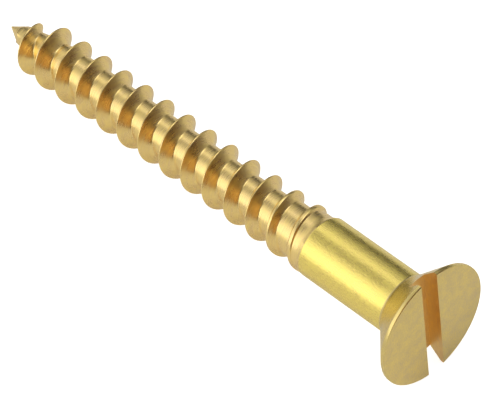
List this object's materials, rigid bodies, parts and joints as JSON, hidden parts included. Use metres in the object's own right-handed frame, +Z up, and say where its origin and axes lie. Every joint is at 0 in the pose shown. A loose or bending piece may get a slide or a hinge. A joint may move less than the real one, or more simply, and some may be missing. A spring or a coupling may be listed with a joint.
{
  "type": "wood screw",
  "caption": "Slotted countersunk wood screw in solid brass, with a plain shank, a coarse right-hand wood thread and a cone point.",
  "frame": {"origin": "middle of the head's flush face, on the screw's axis and in the middle of the driver slot", "axes": "+X along the screw's axis, out of the head; the point is towards -X; the driver slot runs along Z; +Z up"},
  "size_m": [0.0382, 0.0084, 0.0084],
  "materials": {
    "brass": "satin"
  },
  "bodies": {
    "root": {"wood_screw": "brass"}
  },
  "joints": []
}
